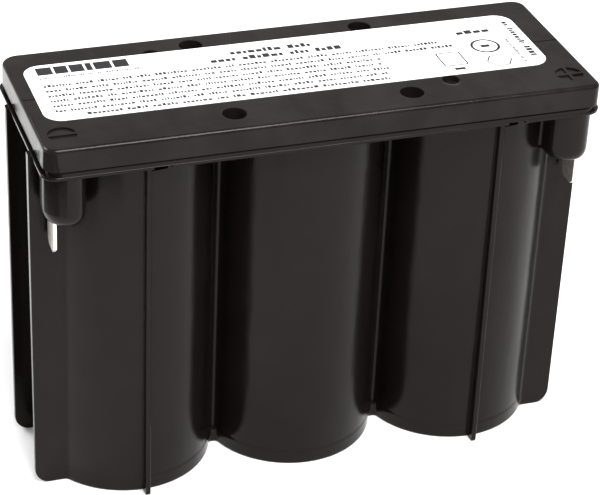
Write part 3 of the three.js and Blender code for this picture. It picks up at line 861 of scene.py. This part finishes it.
def cover_seams():
    """A fine moulding line across the lid at each end of the label."""
    across = (SEAM_Y - SEAM_HALF, SEAM_Y + SEAM_HALF)
    levels = (COVER_TOP - SEAM_DEPTH, COVER_TOP + OVERRUN)
    outside = COVER_HALF[0] + OVERRUN
    negative_end = (-outside, LABEL_X[0] + SEAM_UNDER_LABEL)
    positive_end = (LABEL_X[1] - SEAM_UNDER_LABEL, outside)
    return [block("seam", along, across, levels) for along in (negative_end, positive_end)]


def build_lid(material):
    lid = cover_shell()
    x, y = COVER_HALF[0] - COVER_WALL, COVER_HALF[1] - COVER_WALL
    outline = rounded_rectangle((-x, x), (-y, y), [COVER_INSIDE_CORNER] * 4, steps=6)
    inside = prism("inside", outline, COVER_BOTTOM - OVERRUN, COVER_TOP - COVER_WALL)
    combine(lid, "DIFFERENCE", [inside])
    combine(lid, "UNION", vent_bosses())
    signs = [polarity_sign(end) for end in ENDS]
    combine(lid, "DIFFERENCE", vent_hole_tools() + gate_mark_tools() + signs)
    for seam in cover_seams():
        combine(lid, "DIFFERENCE", [seam])
    shade(lid, sharp_degrees=28)
    dress(lid, material, "case_plastic", "top_cover")
    return lid


# ---- label --------------------------------------------------------------------------------

def build_label(material):
    outline = rounded_rectangle(LABEL_X, LABEL_Y, [LABEL_CORNER] * 4, steps=12)
    label = prism("label_film_sheet", outline, LABEL_LOW, LABEL_HIGH)
    shade(label, sharp_degrees=40)
    dress(label, material, "label_film", "label")
    return label


def print_row(rng, start, stop, level, height, weight, upright=False):
    """Small uneven blocks grouped like words, with no letters in them."""
    bars = []
    along = start
    left_in_word = rng.randint(*WORD_BLOCKS)
    while along < stop:
        width = rng.uniform(*BLOCK_WIDTHS) * height * weight
        rise = height * rng.choice(BLOCK_RISES)
        if upright:
            bars.append((level, level + rise, along, along + width))
        else:
            bars.append((along, along + width, level, level + rise))
        left_in_word -= 1
        along += width + BLOCK_GAP * height
        if left_in_word == 0:
            left_in_word = rng.randint(*WORD_BLOCKS)
            along += WORD_GAP * height
    return bars


def label_bars():
    """Every plain block on the label: (x0, x1, y0, y1) for each."""
    rng = random.Random(PRINT_SEED)
    bars = []
    x = PRINT_LEFT
    for width in HEADING_WIDTHS:
        bars.append((x, x + width, *HEADING_Y))
        x += width + HEADING_GAP
    for row in HEADING_ROWS:
        bars += print_row(rng, *row)
    bars.append(PRINT_RULE)
    for number, stop in enumerate(TEXT_STOPS):
        level = TEXT_TOP - TEXT_PITCH * number
        bars += print_row(rng, PRINT_LEFT, stop, level, TEXT_HEIGHT, 1.0)
    for row in SIDE_ROWS:
        bars += print_row(rng, *row)
    for row in UPRIGHT_ROWS:
        bars += print_row(rng, *row, upright=True)
    return bars + list(PRINT_DASHES)


def print_frames():
    """Plain outlines beside the print: (outer outline, inner outline) for each."""
    frames = []
    for centre, outer, inner, sides in PRINT_RINGS:
        frames.append([arc(centre, radius, 0, 360, sides)[:-1] for radius in (outer, inner)])
    square = []
    for inset, corner in zip((0, SQUARE_LINE), SQUARE_CORNERS):
        x = (SQUARE_X[0] + inset, SQUARE_X[1] - inset)
        y = (SQUARE_Y[0] + inset, SQUARE_Y[1] - inset)
        square.append(rounded_rectangle(x, y, [corner] * 4, steps=4))
    return frames + [square]


def frame_faces(first, count):
    """Faces round a frame made of four rings of points, each joined to the next."""
    faces = []
    for ring in range(4):
        here = first + ring * count
        there = first + (ring + 1) % 4 * count
        for i in range(count):
            after = (i + 1) % count
            faces.append([here + i, here + after, there + after, there + i])
    return faces


def build_print(material):
    block_faces = (
        (0, 1, 2, 3), (4, 5, 6, 7), (0, 1, 5, 4), (1, 2, 6, 5), (2, 3, 7, 6), (3, 0, 4, 7))
    points, faces = [], []
    for x0, x1, y0, y1 in label_bars():
        first = len(points)
        for z in (LABEL_HIGH, PRINT_HIGH):
            points += [(x0, y0, z), (x1, y0, z), (x1, y1, z), (x0, y1, z)]
        faces += [[first + i for i in corners] for corners in block_faces]
    for outer, inner in print_frames():
        faces += frame_faces(len(points), len(outer))
        points += level_ring(outer, LABEL_HIGH) + level_ring(outer, PRINT_HIGH)
        points += level_ring(inner, PRINT_HIGH) + level_ring(inner, LABEL_HIGH)
    bars = new_object("label_print", points, faces)
    dress(bars, material, "label_film")
    return bars


# ---- tabs ---------------------------------------------------------------------------------

def tab_strap(name, end):
    """The flat strap inside, from the cell's post to the top of the blade."""
    near = STRAP_HALF
    corner = STRAP_CORNER
    outside = TAB_X[end] + TAB_HALF
    bend = outside - STRAP_NECK
    outline = [
        (POST_X - near, corner - near), (POST_X - near + corner, -near),
        (bend - STRAP_SLOPE, TAB_FRONT + STRAP_SLOPE), (bend, TAB_FRONT),
        (outside, TAB_FRONT), (outside, TAB_BACK),
        (POST_X + near, near - corner), (POST_X + near - corner, near), (POST_X - near, near),
    ]
    return prism(name, at_end(outline, end), STRAP_LEVEL, STRAP_LEVEL + 2 * TAB_HALF)


def tab_blade(end):
    """The upright blade, with both lower corners cut off."""
    chamfer = TAB_TIP_CHAMFER
    top = STRAP_LEVEL + TAB_HALF
    outline = [
        (TAB_FRONT, top), (TAB_FRONT, TAB_TIP + chamfer), (TAB_FRONT + chamfer, TAB_TIP),
        (TAB_BACK - chamfer, TAB_TIP), (TAB_BACK, TAB_TIP + chamfer), (TAB_BACK, top),
    ]
    faces_x = (TAB_X[end] - TAB_HALF, TAB_X[end] + TAB_HALF)
    return loft("blade", [[(end * x, y, z) for y, z in outline] for x in faces_x])


def build_tab(name, node, end, material):
    tab = tab_strap(name, end)
    combine(tab, "UNION", [tab_blade(end)])
    soften_edges(tab, TAB_EDGE)
    shade(tab, sharp_degrees=35)
    dress(tab, material, "tinned_brass", node)
    return tab


# ---- sealed pieces ------------------------------------------------------------------------

def finish_inner_nodes():
    """Carried-over CAD solids get the finish of what they are made of."""
    lead = cast_lead()
    rubber = soft_rubber()
    epoxy = poured_epoxy()
    finishes = {
        "negative_plate": pasted_plate("sponge_lead", (0.20, 0.205, 0.21), (0.33, 0.335, 0.34)),
        "positive_plate": pasted_plate("lead_dioxide", (0.05, 0.028, 0.02), (0.12, 0.07, 0.045)),
        "separator": glass_mat(),
        "post_seal": rubber,
        "relief_valve": rubber,
        "post": lead,
        "connector": lead,
        "potting": epoxy,
        "lid": inner_plastic(),
    }
    for name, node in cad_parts.items():
        for word, material in finishes.items():
            if word in name:
                node.data.materials.clear()
                node.data.materials.append(material)
                break


# ---- studio -------------------------------------------------------------------------------

def add_floor():
    across = (-FLOOR_HALF, FLOOR_HALF)
    floor = block("floor", across, across, (-FLOOR_DEPTH, -FLOOR_GAP))
    floor.data.materials.append(floor_paint())


def add_softbox(name, place, target, width, power):
    light = bpy.data.lights.new(name, "AREA")
    light.shape = "RECTANGLE"
    light.size = width
    light.size_y = width
    light.energy = power
    lamp = bpy.data.objects.new(name, light)
    lamp.location = place
    lamp.rotation_euler = (Vector(target) - Vector(place)).to_track_quat("-Z", "Y").to_euler()
    bpy.context.scene.collection.objects.link(lamp)


def add_card(name, tone, turn, low, high):
    """A low card bent round the front left corner, seen only in the plastic's gloss."""
    start, stop = turn
    outside = arc(CARD_CENTRE, CARD_RADIUS + CARD_THICKNESS, start, stop, steps=24)
    inside = arc(CARD_CENTRE, CARD_RADIUS, stop, start, steps=24)
    card = prism(name, outside + inside, low, high)
    card.data.materials.append(Surface(name, (tone, tone, tone), roughness=0.9).material)
    card.visible_camera = False
    card.visible_diffuse = False
    card.visible_shadow = False


def add_lights():
    for softbox in SOFTBOXES:
        add_softbox(*softbox)
    world = bpy.data.worlds.new("studio")
    world.use_nodes = True
    background = world.node_tree.nodes["Background"]
    background.inputs["Color"].default_value = (1, 1, 1, 1)
    background.inputs["Strength"].default_value = WORLD_STRENGTH
    bpy.context.scene.world = world


def add_camera():
    azimuth = math.radians(CAMERA_AZIMUTH)
    elevation = math.radians(CAMERA_ELEVATION)
    roll = math.radians(CAMERA_ROLL)
    ahead = Vector((
        math.sin(azimuth) * math.cos(elevation),
        math.cos(azimuth) * math.cos(elevation),
        -math.sin(elevation)))
    level = Vector((math.cos(azimuth), -math.sin(azimuth), 0))
    upright = level.cross(ahead)
    right = level * math.cos(roll) + upright * math.sin(roll)
    up = upright * math.cos(roll) - level * math.sin(roll)
    data = bpy.data.cameras.new("camera")
    data.lens = CAMERA_LENS
    data.sensor_width = CAMERA_SENSOR
    data.shift_x = CAMERA_SHIFT
    camera = bpy.data.objects.new("camera", data)
    turn = Matrix((right, up, -ahead)).transposed().to_4x4()
    place = (Vector(CAMERA_AIM) - ahead * CAMERA_DISTANCE) * MM
    camera.matrix_world = Matrix.Translation(place) @ turn
    bpy.context.scene.collection.objects.link(camera)
    bpy.context.scene.camera = camera


# ---- scene --------------------------------------------------------------------------------

add_camera()
build_case(case_plastic("case_plastic", CASE_TONE, CASE_MOTTLING))
build_lid(case_plastic("lid_plastic", LID_TONE, LID_MOTTLING))
build_label(label_film())
build_print(printed_ink())
metal = tinned_brass()
build_tab("negative_tab", "negative_terminal_tab", -1, metal)
build_tab("positive_tab", "positive_terminal_tab", 1, metal)
finish_inner_nodes()
add_floor()
for card in CARDS:
    add_card(*card)
add_lights()
bpy.context.scene.view_settings.view_transform = "Standard"
